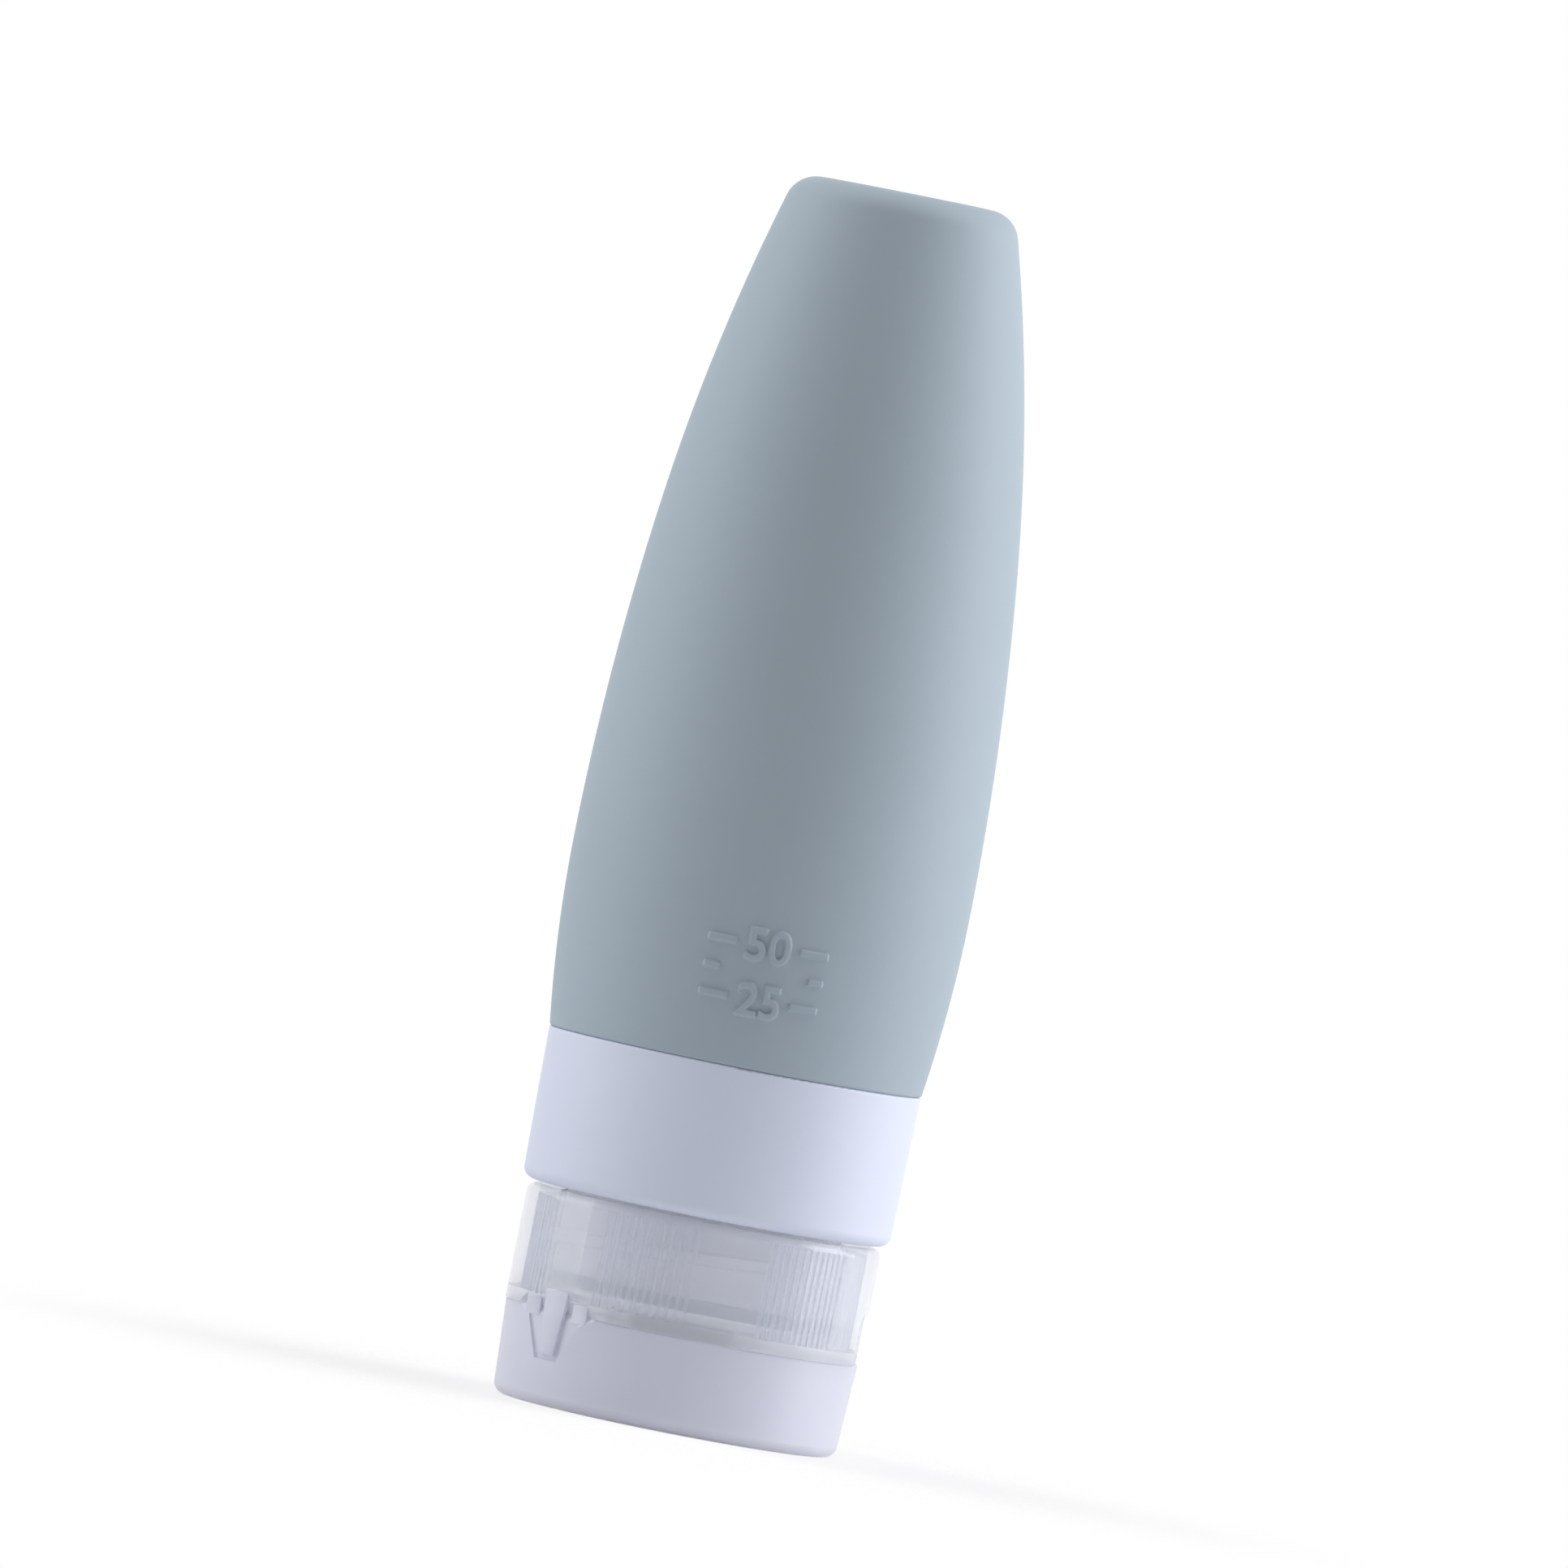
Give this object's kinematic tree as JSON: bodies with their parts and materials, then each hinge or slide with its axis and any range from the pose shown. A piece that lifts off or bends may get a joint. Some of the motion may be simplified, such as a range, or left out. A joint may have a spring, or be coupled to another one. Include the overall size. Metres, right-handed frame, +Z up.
{
  "type": "travel silicone bottle",
  "caption": "Squeezable tapered silicone travel bottle standing on a translucent screw cap with a flip lid, slit valve and a rigid white collar.",
  "frame": {"origin": "on the bottle's axis, in the lid's standing face", "axes": "+Z up the axis to the closed end of the bottle, -Y towards the side with the raised marks"},
  "size_m": [0.0388, 0.0388, 0.1206],
  "materials": {
    "silicone": "matte blue grey silicone",
    "collar_plastic": "satin, pale lilac white",
    "neck_plastic": "satin white",
    "seal_rubber": "matte grey green",
    "cap_plastic": "milky translucent polypropylene",
    "valve_silicone": "soft translucent silicone",
    "lid_plastic": "milky translucent polypropylene"
  },
  "bodies": {
    "bottle": {"silicone_body": "silicone", "collar": "collar_plastic", "neck_ring": "neck_plastic"},
    "seal": {"cap_seal": "seal_rubber"},
    "cap": {"cap_base": "cap_plastic", "slit_valve": "valve_silicone", "valve_retainer": "cap_plastic", "film_hinge_left": "lid_plastic", "film_hinge_right": "lid_plastic", "snap_band": "lid_plastic"},
    "lid": {"flip_lid": "lid_plastic"}
  },
  "joints": [
    {"name": "cap_lift", "type": "slide", "parent": "bottle", "child": "seal", "axis": [0, 0, -1], "range_m": [0, 0.012]},
    {"name": "cap_turn", "type": "hinge", "parent": "seal", "child": "cap", "pos_m": [0, 0, 0.0104], "axis": [0, 0, -1], "range_deg": [0, 1080]},
    {"name": "lid_hinge", "type": "hinge", "parent": "cap", "child": "lid", "pos_m": [-0.01194, -0.01114, 0.0092], "axis": [-0.682, 0.7314, 0], "range_deg": [0, 130], "deforming": ["film_hinge_left", "film_hinge_right", "snap_band"]}
  ],
  "couplings": [
    {"joint": "cap_lift", "follows": "cap_turn", "m_per_rad": 0.00063662}
  ]
}
